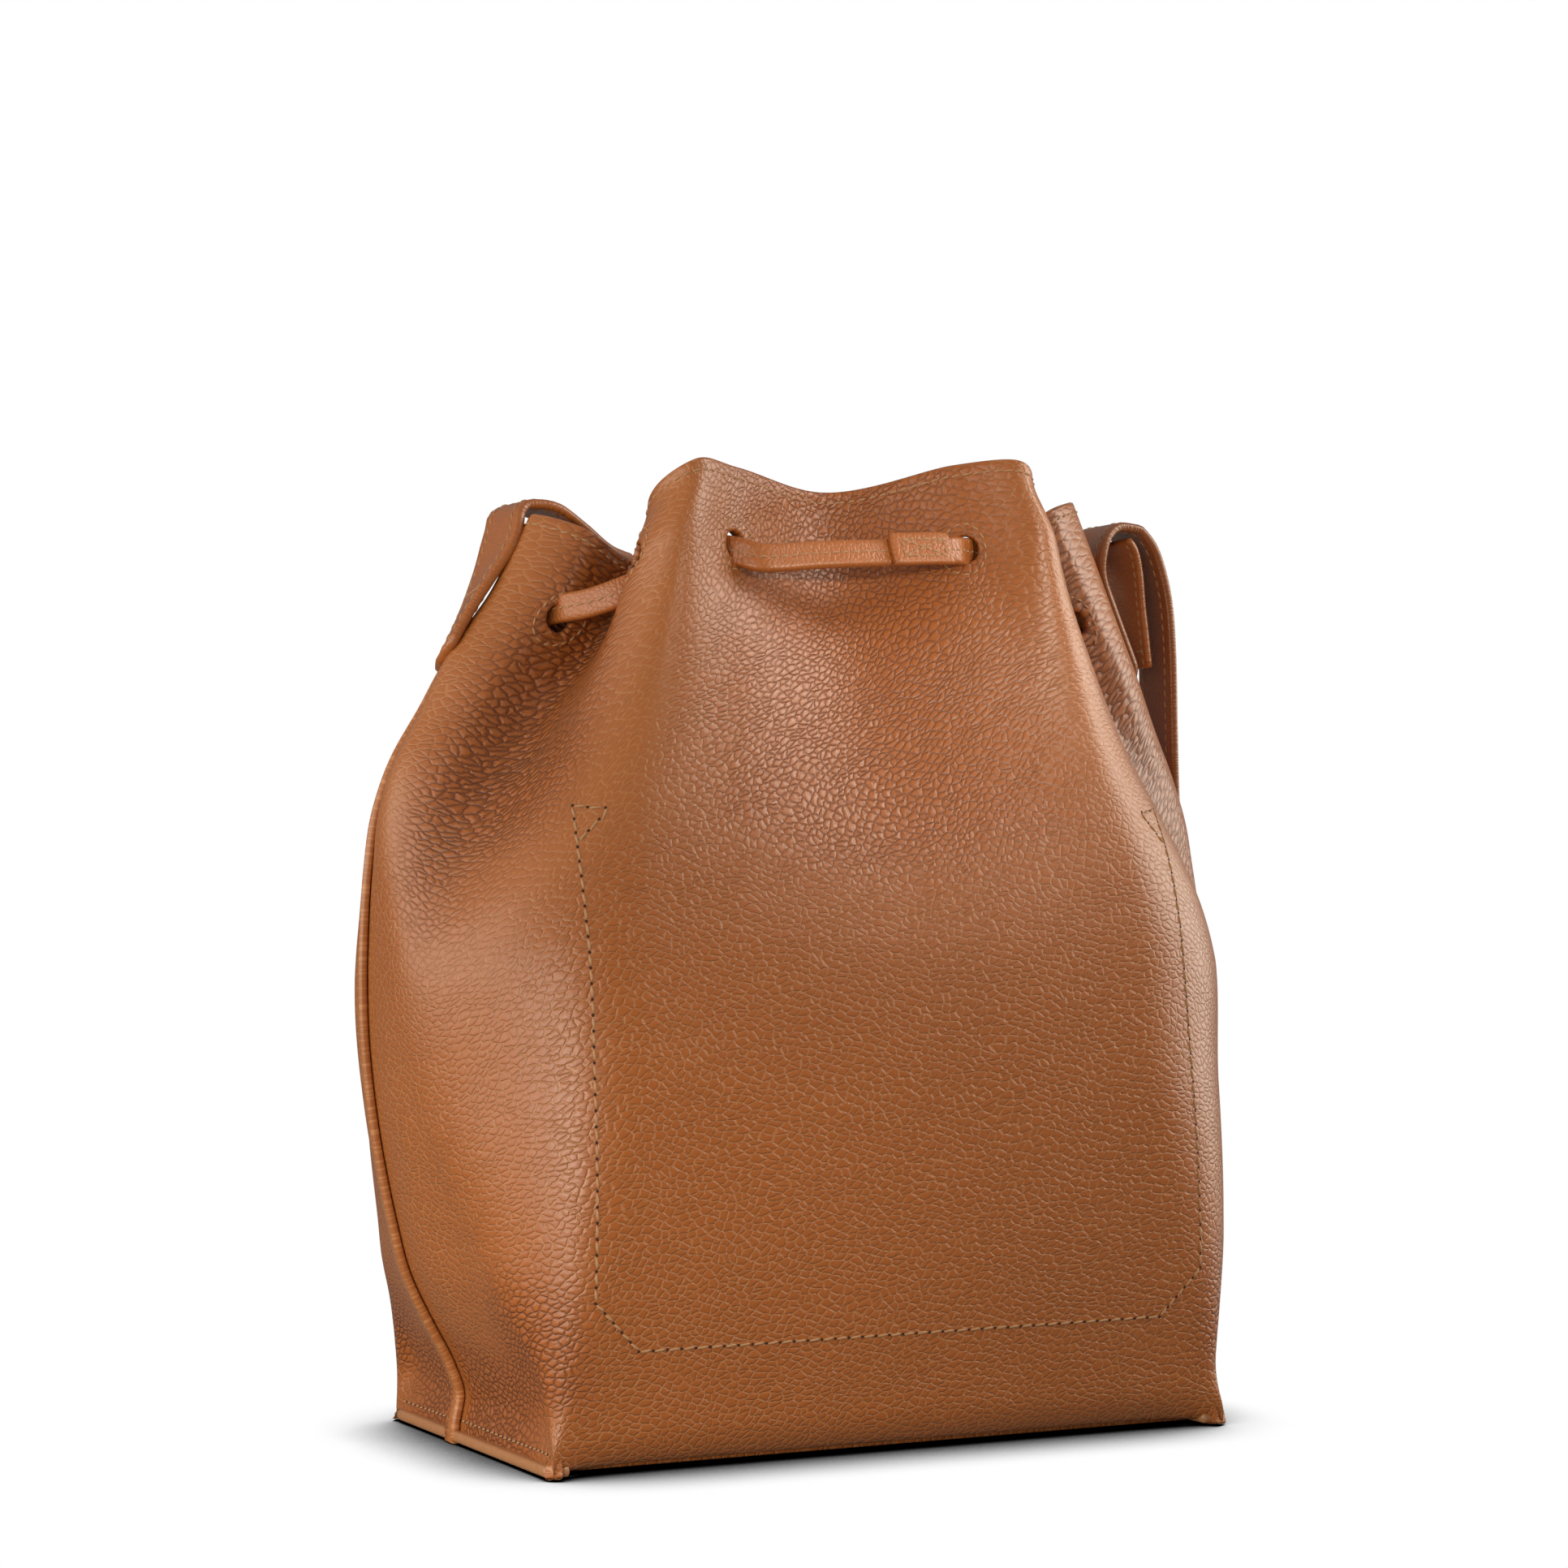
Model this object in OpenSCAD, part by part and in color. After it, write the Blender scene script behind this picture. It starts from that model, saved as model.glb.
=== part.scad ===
// Drawstring bucket bag in soft leather, standing empty with its mouth drawn in.
// Millimetres, +Z up. The origin is the middle of the base, on the surface the bag stands on.
// The rear panel, with the inner pocket's stitching, faces -Y. The shoulder strap hangs over the front, +Y.

/* [Bag] */
// Height of the mouth's highest ears
bag_h = 273; // [255:1:290]
// Width of the base
base_w = 207; // [195:1:215]
// Depth of the base
base_d = 118; // [110:1:125]
// Thickness of the leather
wall = 2.6; // [2:0.1:3]

/* [Mouth] */
// How much lower the front of the mouth sags than the rear
front_drop = 24; // [20:1:28]
// Radius of the drawstring's holes
hole_r = 5.2; // [4.6:0.1:5.6]
// Height of the holes as a share of the mouth's height
hole_v = 0.925; // [0.91:0.005:0.94]

/* [Drawstring] */
// Width of the drawstring
string_w = 8.2; // [6:0.1:9]
// Thickness of the drawstring, two layers of leather
string_t = 3.2; // [2.6:0.1:3.4]
// Length of the doubled end that hangs at the front
pull_l = 104; // [90:1:110]

/* [Strap] */
// Width of the shoulder strap
strap_w = 19; // [16:0.5:20]
// Thickness of the shoulder strap
strap_t = 3; // [2.6:0.1:3.2]

/* [Hidden] */
$fn = 32;

half_w = base_w / 2;
half_d = base_d / 2;
steps = 3;
tan_col = "peru";
dark_col = "sienna";

// The body's section at each height is a rounded rectangle: half-width, half-depth, corner radius.
body_a = [[0, half_w], [20, half_w + 3.5], [60, half_w + 11.5], [100, half_w + 19.5],
    [145, half_w + 23.5], [175, half_w + 16.5], [200, half_w + 8.5], [250, half_w]];
body_b = [[0, half_d], [20, half_d + 3], [45, half_d + 6.5], [90, half_d + 7.5],
    [130, half_d + 3], [160, half_d - 3], [200, half_d - 11.5], [250, half_d - 17]];
body_r = [[0, 6], [20, 20], [60, 40], [110, 52], [150, 54], [200, 44], [250, 36]];

// A quarter of the drawn-in mouth, from the middle of a broad side (0) to the side seam (6).
// 0 valley, 1 hole, 2 ridge, 3 hole, 4 valley, 5 hole, 6 ridge with the side seam.
mouth_xy = [[0, -13], [-37, -31], [-57, -41.5], [-66, -27], [-59, -9], [-82, -13.5], [-98, 0]];
mouth_z = [264, 270, 273, 262, 245, 251, 255];
// Where the same seven lines lie round the body, as shares of a quarter of its girth
body_share = [0, 0.31, 0.50, 0.66, 0.83, 0.92, 1];
nominal_h = 268;
// How far the section has gone from the body's to the mouth's at each height
fold = [[140, 0], [160, 0.03], [180, 0.13], [200, 0.28], [220, 0.48], [240, 0.78], [252, 0.94], [262, 1]];
// Above the holes the ears lean in by this share.
lean = 0.08;

// The front panel laps over the rear panel just in front of each side ridge.
lap_edge = 6.6;
lap_under = 6.95;

// ---- the shell's surface ----

function blend3(s) = let(c = min(1, max(0, s))) c * c * (3 - 2 * c);
function spline(a, b, c, d, s) =
    0.5 * (2 * b + (c - a) * s + (2 * a - 5 * b + 4 * c - d) * s * s
        + (3 * b - a - 3 * c + d) * s * s * s);

// Values past the ends of a quarter are mirror images.
function mouth_at(i) = i < 0 ? [-mouth_xy[-i][0], mouth_xy[-i][1]]
    : i > 6 ? [mouth_xy[12 - i][0], -mouth_xy[12 - i][1]] : mouth_xy[i];
function share_at(i) = i < 0 ? -body_share[-i] : i > 6 ? 2 - body_share[12 - i] : body_share[i];
function height_at(i) = i < 0 ? mouth_z[-i] : i > 6 ? mouth_z[12 - i] : mouth_z[i];

// t runs round the bag: 0 rear middle, 6 left side (-X), 12 front middle, 18 right side.
function wrap(t) = (t % 24 + 24) % 24;
function quarter(t) = abs((wrap(t) + 6) % 12 - 6);
function side_x(t) = wrap(t) < 12 ? 1 : -1;
function side_y(t) = (wrap(t) < 6 || wrap(t) > 18) ? 1 : -1;

function sag(t) = let(d = 12 - abs(12 - wrap(t))) front_drop * blend3((d - 6) / 3.5);
function rim_z(t) = let(k = quarter(t), i = min(5, floor(k)))
    spline(height_at(i - 1), height_at(i), height_at(i + 1), height_at(i + 2), k - i)
        * bag_h / 273 - sag(t);

// A point of the rounded rectangle at a share of its quarter girth
function body_xy(share, a, b, r) =
    let(arc = PI * r / 2, flat = a - r, s = share * (flat + arc + b - r))
    s < flat ? [-s, -b]
    : s < flat + arc ? let(f = (s - flat) / arc * 90) [-flat - r * sin(f), -(b - r) - r * cos(f)]
    : [-a, -(b - r) + (s - flat - arc)];

function shell(t, v) =
    let(k = quarter(t), i = min(5, floor(k)), s = k - i, h = v * nominal_h,
        m = spline(mouth_at(i - 1), mouth_at(i), mouth_at(i + 1), mouth_at(i + 2), s),
        g = spline(share_at(i - 1), share_at(i), share_at(i + 1), share_at(i + 2), s),
        c = body_xy(min(1, max(0, g)), lookup(h, body_a), lookup(h, body_b), lookup(h, body_r)),
        w = lookup(h, fold),
        p = c * (1 - w) + m * w * (1 - lean * blend3((h - 248) / 20)))
    [p[0] * side_x(t), p[1] * side_y(t), rim_z(t) * v];

function unit(p) = p / norm(p);
function outward(t, v) = unit(cross(shell(t, v + 0.004) - shell(t, v - 0.004),
    shell(t + 0.03, v) - shell(t - 0.03, v)));

// ---- solids between two surfaces parallel to the shell ----

function grid_faces(nt, nv) =
    let(n = (nt + 1) * (nv + 1), o = function(i, j) i * (nv + 1) + j, q = function(i, j) n + o(i, j))
    concat(
        [for (i = [0:nt - 1], j = [0:nv - 1]) each [
            [o(i, j), o(i + 1, j), o(i + 1, j + 1), o(i, j + 1)],
            [q(i, j + 1), q(i + 1, j + 1), q(i + 1, j), q(i, j)]]],
        [for (i = [0:nt - 1]) each [
            [o(i + 1, 0), o(i, 0), q(i, 0), q(i + 1, 0)],
            [o(i, nv), o(i + 1, nv), q(i + 1, nv), q(i, nv)]]],
        [for (j = [0:nv - 1]) each [
            [o(0, j), o(0, j + 1), q(0, j + 1), q(0, j)],
            [o(nt, j + 1), o(nt, j), q(nt, j), q(nt, j + 1)]]]);

// inner and outer are distances outward from the shell, and lift(t) is added to both.
module sheet(ts, vs, inner, outer, lift = function(t) 0) {
    polyhedron(
        points = concat(
            [for (t = ts, v = vs) shell(t, v) + outward(t, v) * (outer + lift(t))],
            [for (t = ts, v = vs) shell(t, v) + outward(t, v) * (inner + lift(t))]),
        faces = grid_faces(len(ts) - 1, len(vs) - 1),
        convexity = 10);
}

function run(from, to, n) = [for (i = [0:n]) from + (to - from) * i / n];

// A flat strip along points [x, y, z], with the way its face looks and its half-width at each
module strip(points, faces_to, halves, t) {
    n = len(points);
    rings = [for (i = [0:n - 1])
        let(ahead = unit(points[min(n - 1, i + 1)] - points[max(0, i - 1)]),
            side = unit(cross(faces_to[i], ahead)),
            up = unit(cross(ahead, side)))
        each [
            points[i] + side * halves[i] + up * t / 2,
            points[i] - side * halves[i] + up * t / 2,
            points[i] - side * halves[i] - up * t / 2,
            points[i] + side * halves[i] - up * t / 2]];
    corner = function(i, j) 4 * i + j % 4;
    polyhedron(
        points = rings,
        faces = concat(
            [[0, 1, 2], [0, 2, 3], [4 * n - 1, 4 * n - 2, 4 * n - 3], [4 * n - 1, 4 * n - 3, 4 * n - 4]],
            [for (i = [0:n - 2], j = [0:3]) each [
                [corner(i, j), corner(i + 1, j), corner(i + 1, j + 1)],
                [corner(i, j), corner(i + 1, j + 1), corner(i, j + 1)]]]),
        convexity = 10);
}

module along(p, d) {
    translate(p) rotate([0, acos(d[2]), atan2(d[1], d[0])]) children();
}

// ---- the bag ----

// The inner pocket's own levels are some of the wall's, so that the two stay the same distance apart.
levels_in = [0.12, 0.16, 0.26, 0.38, 0.5, 0.58, 0.66];
levels = [0, 0.03, 0.08, 0.12, 0.16, 0.26, 0.38, 0.5, 0.58, 0.66, 0.74, 0.82, 0.9, 0.95, 1];

module string_hole(t) {
    along(shell(t, hole_v), outward(t, hole_v)) cylinder(h = 16, r = hole_r, center = true);
}

module rear_panel() {
    color(tan_col) difference() {
        sheet(run(-lap_under, lap_under, 14 * steps), levels, -wall, 0);
        for (t = [-5:2:5]) string_hole(t);
    }
}

module front_panel() {
    far = 24 - lap_edge;
    ts = concat([lap_edge, 6.8, 7.02, 7.28], run(7.5, 16.5, 9 * steps), [16.72, 16.98, 17.2, far]);
    color(tan_col) difference() {
        sheet(ts, levels, -wall, 0,
            lift = function(t) (wall + 0.4) * (1 - blend3((min(t - lap_edge, far - t) - 0.42) / 0.26)));
        for (t = [7:2:17]) string_hole(t);
    }
}

module base_panel() {
    inset = wall + 1;
    r = 4;
    color(dark_col) linear_extrude(height = wall) offset(r = r)
        square([base_w - 2 * inset - 2 * r, base_d - 2 * inset - 2 * r], center = true);
}

// The turned-out seam that closes each end of the base
module base_seam(middle) {
    color(dark_col) sheet(run(middle - 2.9, middle + 2.9, 12), [0.001, 0.012, 0.022], 3.4, 6);
}

module base_seam_left() {
    base_seam(6);
}

module base_seam_right() {
    base_seam(18);
}

module inner_pocket() {
    color(dark_col) sheet([-2.45, -2, -5 / 3, -4 / 3, -1, -2 / 3, -1 / 3, 0, 1 / 3, 2 / 3, 1, 4 / 3, 5 / 3, 2, 2.45], levels_in, -wall - 2.1, -wall - 0.8);
}

// Round holes are backed by a stitched patch inside the wall.
module hole_patches() {
    color(dark_col) difference() {
        for (t = [1:2:23])
            sheet(run(t - 0.42, t + 0.42, 2), run(hole_v - 0.036, hole_v + 0.036, 2), -wall - 2, -wall - 0.75);
        for (t = [1:2:23]) string_hole(t);
    }
}

// ---- the drawstring ----

// A quarter of its way, from the middle of a broad side to the side ridge, with heights
string_way = [[0, -36, 251], [-20, -35.2, 251], [-33, -32.8, 250], [-41, -30.5, 249], [-53, -30, 247],
    [-62, -28.2, 243], [-70, -24.5, 239], [-77, -18.5, 235], [-83.5, -11.5, 232], [-88, -5, 230],
    [-89.5, 0, 229.5]];
pull_top = [0, 39.5, 224];
pull_way = unit([0, 0.29, -1]);
pull_side = [0, pull_way[2] * -1, pull_way[1]];

function string_side(sx, sy, drop, skip) = [for (i = [skip:9])
    let(p = string_way[i], d = drop * blend3((9.5 - i) / 6)) [p[0] * sx, p[1] * sy, p[2] - d]];
function backwards(list) = [for (i = [len(list) - 1:-1:0]) list[i]];

module drawstring() {
    left_end = [-9, 37.8, 251 - front_drop];
    right_end = [9, 37.8, 251 - front_drop];
    left = concat([left_end], string_side(1, -1, front_drop, 1), [string_way[10]],
        backwards(string_side(1, 1, 0, 1)));
    right = concat(string_side(-1, 1, 0, 0), [[89.5, 0, 229.5]],
        backwards(string_side(-1, -1, front_drop, 1)), [right_end]);
    way = concat(left, right);
    n = len(way);
    flat = [for (i = [0:n - 1]) let(d = way[min(n - 1, i + 1)] - way[max(0, i - 1)]) unit([d[1], -d[0], 0])];
    color(dark_col) strip(way, flat, [for (p = way) string_w / 2], string_t);
}

// The doubled end: down, round a bend and up again behind itself
module drawstring_pull() {
    gap = (string_t + 0.8) / 2;
    outer_run = [for (s = [3, pull_l / 2, pull_l - 5]) pull_top + pull_way * s + pull_side * gap];
    bend = [for (f = [-60:30:60])
        pull_top + pull_way * (pull_l - 5 + gap * 1.6 * cos(f)) - pull_side * gap * sin(f)];
    inner_run = [for (s = [pull_l - 5, pull_l / 2, 3]) pull_top + pull_way * s - pull_side * gap];
    way = concat(outer_run, bend, inner_run);
    looks = concat([for (i = [1:3]) pull_side], [for (f = [-60:30:60]) pull_way * cos(f) - pull_side * sin(f)],
        [for (i = [1:3]) -pull_side]);
    color(dark_col) strip(way, looks, [for (p = way) string_w / 2], string_t);
}

// A short leather sleeve that slides along both strands and holds the mouth drawn in
keeper_at = 16;
keeper_l = 11;
module keeper() {
    hole = [string_w + 1, 2 * string_t + 0.8 + 0.8];
    color(tan_col) along(pull_top + pull_way * keeper_at, pull_way)
        rotate([0, 0, 90]) difference() {
            cube([hole[0] + 4.4, hole[1] + 4.4, keeper_l], center = true);
            cube([hole[0], hole[1], keeper_l + 1], center = true);
        }
}

// ---- the strap ----

// The free part turns about a line along X at y 12, z 265, where each end arches over.

// The sewn ends: on the side ridge, then up and over towards the line the strap turns about
module strap_end(middle, way, looks) {
    color(tan_col) union() {
        sheet(run(middle - 0.6, middle + 0.6, 4), [0.835, 0.87, 0.9, 0.93, 0.965], wall + 1, wall + 1 + strap_t);
        strip(way, looks, [for (p = way) strap_w / 2], strap_t);
    }
}

module strap_end_left() {
    strap_end(6.3,
        [[-101.5, 6, 241], [-102.5, 7, 252], [-99, 9, 260.5], [-91, 11, 265], [-82, 12, 265.8]],
        [[-1, 0, 0], [-1, 0, 0.1], [-0.85, 0, 0.5], [-0.4, 0, 0.9], [0, 0, 1]]);
}

module strap_end_right() {
    strap_end(17.7,
        [[101.5, 6, 241], [104, 8, 252], [105.5, 10, 259], [109.5, 11.5, 263.8], [116.5, 12, 264]],
        [[1, 0, 0], [1, 0, -0.05], [1, 0, -0.3], [0.3, 0, -0.95], [0, 0, -1]]);
}

// Over the left ear and the front rim, down the front, round the right corner and up to the right ear
strap_way = [[-78, 12, 265.3], [-68, 15, 262], [-58, 20, 257.5], [-50, 28, 254], [-44, 39, 251.5], [-41, 49, 245],
    [-40, 56, 228], [-39.5, 61, 200], [-38, 67, 160], [-34, 71.5, 120], [-27, 75, 82], [-10, 79, 46],
    [20, 82, 26], [56, 81, 22], [90, 73, 32], [118, 56, 56], [133, 36, 95], [136, 24, 135], [134, 17, 165],
    [132, 14, 190], [131, 13, 207], [130, 12, 226], [128.5, 12, 243], [124.5, 12, 256.5], [119.5, 12, 263]];
// Which way the strap's face looks along the route
strap_looks = [[0.1, 0, 1], [0.3, -0.1, 0.95], [0.35, -0.15, 0.9], [0.2, 0, 1], [0.1, 0.4, 0.9], [0, 0.8, 0.6],
    [0, 1, 0.15], [0, 1, 0], [0, 1, 0], [0, 1, 0], [0.05, 1, 0], [0.1, 1, 0],
    [0.1, 1, 0], [0.2, 0.98, 0], [0.4, 0.9, 0], [0.7, 0.7, 0], [0.88, 0.45, 0], [0.96, 0.25, 0], [1, 0.1, 0],
    [1, 0, 0], [1, 0, 0], [1, 0, 0], [1, 0, 0.15], [0.85, 0, 0.5], [0.6, 0, 0.8]];

module strap() {
    color(tan_col) strip(strap_way, strap_looks, [for (p = strap_way) strap_w / 2], strap_t);
}

rear_panel();
front_panel();
base_panel();
base_seam_left();
base_seam_right();
inner_pocket();
hole_patches();
drawstring();
drawstring_pull();
keeper();
strap_end_left();
strap_end_right();
strap();
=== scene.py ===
import math

import bpy
import numpy as np
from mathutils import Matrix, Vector


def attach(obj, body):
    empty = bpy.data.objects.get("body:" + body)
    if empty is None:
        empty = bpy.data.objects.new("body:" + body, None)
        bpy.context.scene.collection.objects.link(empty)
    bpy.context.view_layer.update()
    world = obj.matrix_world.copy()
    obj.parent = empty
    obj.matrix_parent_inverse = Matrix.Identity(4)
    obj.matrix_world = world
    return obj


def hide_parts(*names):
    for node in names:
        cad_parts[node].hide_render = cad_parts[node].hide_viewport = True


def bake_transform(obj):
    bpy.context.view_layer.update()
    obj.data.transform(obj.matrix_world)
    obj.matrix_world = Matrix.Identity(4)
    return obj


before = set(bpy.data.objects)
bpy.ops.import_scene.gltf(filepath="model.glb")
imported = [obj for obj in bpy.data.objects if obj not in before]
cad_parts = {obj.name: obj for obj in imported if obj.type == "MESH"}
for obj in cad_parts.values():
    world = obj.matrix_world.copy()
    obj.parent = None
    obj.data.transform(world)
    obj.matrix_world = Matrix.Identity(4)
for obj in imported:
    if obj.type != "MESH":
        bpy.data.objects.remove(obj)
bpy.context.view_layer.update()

# Millimetres to metres
MM = 0.001
# The hide's thickness and the radius of the drawstring's holes
WALL = 2.4
HOLE_R = 4.7
# Half the base's width and depth
HALF_W = 103.5
HALF_D = 59.0
# How far the front rim sags, and the rim's height on the flat hide
FRONT_DROP = 24.0
NOMINAL_H = 268.0


# ---- small maths


def unit(a):
    return a / np.maximum(np.linalg.norm(a, axis=-1, keepdims=True), 1e-9)


def ease(s):
    c = np.clip(s, 0, 1)
    return c * c * (3 - 2 * c)


def bump_at(x, middle, width):
    return np.exp(-(((x - middle) / width) ** 2))


def curve_through(table, x):
    """A smooth curve through the table's (x, y) rows, read at x."""
    xs = np.array([row[0] for row in table], float)
    ys = np.array([row[1] for row in table], float)
    slope = np.gradient(ys, xs)
    x = np.clip(x, xs[0], xs[-1])
    i = np.clip(np.searchsorted(xs, x, side="right") - 1, 0, len(xs) - 2)
    w = xs[i + 1] - xs[i]
    s = (x - xs[i]) / w
    return (
        (2 * s**3 - 3 * s**2 + 1) * ys[i]
        + (s**3 - 2 * s**2 + s) * w * slope[i]
        + (3 * s**2 - 2 * s**3) * ys[i + 1]
        + (s**3 - s**2) * w * slope[i + 1]
    )


def spline(a, b, c, d, s):
    return 0.5 * (
        2 * b
        + (c - a) * s
        + (2 * a - 5 * b + 4 * c - d) * s**2
        + (3 * b - a - 3 * c + d) * s**3
    )


def run_along(line):
    """How far along the line each of its points is."""
    return np.concatenate([[0], np.cumsum(np.linalg.norm(np.diff(line, axis=0), axis=1))])


def smooth_path(points, step, closed=False):
    """Points every step millimetres along a smooth curve through the given points."""
    p = np.array(points, float)
    n = len(p)
    pieces = []
    for i in range(n if closed else n - 1):
        if closed:
            a, b, c, d = p[(i - 1) % n], p[i], p[(i + 1) % n], p[(i + 2) % n]
        else:
            b, c = p[i], p[i + 1]
            a = p[i - 1] if i > 0 else 2 * b - c
            d = p[i + 2] if i + 2 < n else 2 * c - b
        s = np.linspace(0, 1, 24, endpoint=False)[:, None]
        pieces.append(spline(a, b, c, d, s))
    dense = np.vstack(pieces + [p[:1] if closed else p[-1:]])
    return even(dense, step)


def even(line, step):
    """The same line with its points an even distance apart, about step."""
    run = run_along(line)
    count = max(2, int(round(run[-1] / step)) + 1)
    at = np.linspace(0, run[-1], count)
    return np.stack([np.interp(at, run, line[:, k]) for k in range(line.shape[1])], axis=1)


# ---- the bag's surface

# The body's half-width, half-depth and corner radius at each height
BODY_A = [(0, HALF_W), (20, HALF_W + 3), (60, HALF_W + 11.5), (100, HALF_W + 19.5),
          (145, HALF_W + 23.5), (175, HALF_W + 17), (200, HALF_W + 8.5), (250, HALF_W)]
BODY_B = [(0, HALF_D), (20, HALF_D + 3), (45, HALF_D + 6.5), (90, HALF_D + 7.5),
          (130, HALF_D + 3), (160, HALF_D - 3), (200, HALF_D - 11.5), (250, HALF_D - 17)]
BODY_R = [(0, 5), (20, 11), (60, 29), (110, 48), (150, 50), (200, 42), (250, 36)]
# The drawn-in mouth from the middle of a broad side (0) to the side seam (6)
MOUTH_XY = np.array(
    [(0, -13), (-37, -31), (-57, -41.5), (-66, -27), (-59, -9), (-82, -13.5), (-98, 0)], float)
MOUTH_Z = np.array([264, 270, 273, 262, 245, 251, 255], float)
# The two halves of the mouth aren't quite alike: the right ears stand higher.
MOUTH_Z_LEFT = np.array([267, 270.5, 271, 262, 245, 253, 258], float)
MOUTH_Z_RIGHT = np.array([267, 275, 276, 268, 255, 266, 270], float)
# How far out the side seam's ridge lies at each height, left and right
RIDGE_LEFT = [(0, 103.5), (28, 111), (50, 119), (84, 127), (107, 130), (145, 131), (158, 131), (174, 130),
              (188, 126), (202, 118.5), (217, 111), (226, 105), (235, 98.5), (248, 91.5), (258, 86)]
RIDGE_RIGHT = [(0, 103.5), (28, 110), (50, 117), (84, 125), (107, 129), (145, 131), (160, 131), (172, 130),
               (186, 126), (202, 119.5), (218, 113.5), (236, 106), (255, 98), (270, 91.5)]
# How far along the body's outline each point of the mouth belongs
SHARE = np.array([0, 0.31, 0.50, 0.66, 0.83, 0.92, 1], float)
# How far the body has turned into the mouth's folded outline at each height
FOLD = [(0, 0), (140, 0), (160, 0.03), (180, 0.13), (200, 0.28), (220, 0.48), (240, 0.78), (252, 0.94),
        (262, 1), (268, 1)]
# How much the rim leans in at the very top
LEAN = 0.08
# How far each end is drawn in just above its base seam
PINCH = [(0, 0.6), (4, 1.8), (12, 5.2), (20, 4.6), (32, 2.0), (48, 0), (60, 0)]
# Where the leather runs out to the tips of the base seams
CORNER_X = 103.9
CORNER_REAR = 61.6
CORNER_FRONT = 56.0


def quarter(t):
    return np.abs((np.mod(t, 24) + 6) % 12 - 6)


def side_x(t):
    return np.where(np.mod(t, 24) < 12, 1.0, -1.0)


def side_y(t):
    w = np.mod(t, 24)
    return np.where((w < 6) | (w > 18), 1.0, -1.0)


def mirrored(table, i, first_sign, last):
    """Values past either end of a quarter are mirror images."""
    j = np.where(i < 0, -i, np.where(i > 6, 12 - i, i))
    value = table[j]
    value = np.where(i < 0, value * first_sign, value)
    return np.where(i > 6, last(value), value)


def at_four(table, k, first_sign, last):
    i = np.minimum(5, np.floor(k)).astype(int)
    s = k - i
    return spline(*[mirrored(table, i + d, first_sign, last) for d in (-1, 0, 1, 2)], s)


def same(value):
    return value


def rim_z(t):
    d = 12 - np.abs(12 - np.mod(t, 24))
    sag = FRONT_DROP * ease((d - 6) / 3.5)
    return at_four(MOUTH_Z, quarter(t), 1, same) - sag


def rim_extra(t):
    """How much higher the mouth really is than the even one at t."""
    k = quarter(t)
    left = at_four(MOUTH_Z_LEFT, k, 1, same)
    right = at_four(MOUTH_Z_RIGHT, k, 1, same)
    half = ease(0.5 + 0.5 * side_x(t) * np.minimum(np.abs(6 - np.abs(6 - np.mod(t, 12))), 1))
    front = ease((12 - np.abs(12 - np.mod(t, 24)) - 6) / 2)
    return (right + (left - right) * half - at_four(MOUTH_Z, k, 1, same)) * (1 - front)


def body_xy(share, a, b, r):
    flat = a - r
    arc = math.pi * r / 2
    s = share * (flat + arc + b - r)
    f = np.clip((s - flat) / arc, 0, 1) * math.pi / 2
    x = np.where(s < flat, -s, np.where(s < flat + arc, -flat - r * np.sin(f), -a))
    past = -(b - r) + (s - flat - arc)
    y = np.where(s < flat, -b, np.where(s < flat + arc, -(b - r) - r * np.cos(f), past))
    return x, y


def plain_shell(t, h):
    """The smooth surface at t round the bag and nominal height h."""
    k = quarter(t)
    mx = at_four(MOUTH_XY[:, 0], k, -1, same)
    my = at_four(MOUTH_XY[:, 1], k, 1, lambda value: -value)
    g = np.clip(at_four(SHARE, k, -1, lambda value: 2 - value), 0, 1)
    cx, cy = body_xy(g, curve_through(BODY_A, h), curve_through(BODY_B, h), curve_through(BODY_R, h))
    w = np.clip(curve_through(FOLD, h), 0, 1)
    lean = 1 - LEAN * ease((h - 248) / 20)
    x = (cx * (1 - w) + mx * w * lean) * side_x(t)
    y = (cy * (1 - w) + my * w * lean) * side_y(t)
    z = rim_z(t) * h / NOMINAL_H + rim_extra(t) * ease((h - 150) / 118)
    ridge = np.where(side_x(t) > 0, curve_through(RIDGE_LEFT, z), curve_through(RIDGE_RIGHT, z))
    seam_x = curve_through(BODY_A, h) * (1 - w) + 98 * w * lean
    along = np.abs(1 - g) * (curve_through(BODY_A, h) + curve_through(BODY_B, h)) * 0.93
    x = x - side_x(t) * (ridge - seam_x) * np.exp(-((along / 24) ** 2))
    x = np.where(side_x(t) < 0, x * (1 - 0.017 * bump_at(z, 100, 42)), x)
    y = np.where(side_y(t) < 0, y * (1 - 0.075 * bump_at(z, 62, 34)), y)
    return np.stack([x, y, z], axis=-1)


def out_of(surface, t, h):
    """Unit vector out of a surface at t and h."""
    up = surface(t, np.minimum(h + 0.8, NOMINAL_H)) - surface(t, np.maximum(h - 0.8, 0))
    round_it = surface(t + 0.02, h) - surface(t - 0.02, h)
    return unit(np.cross(up, round_it))


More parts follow.
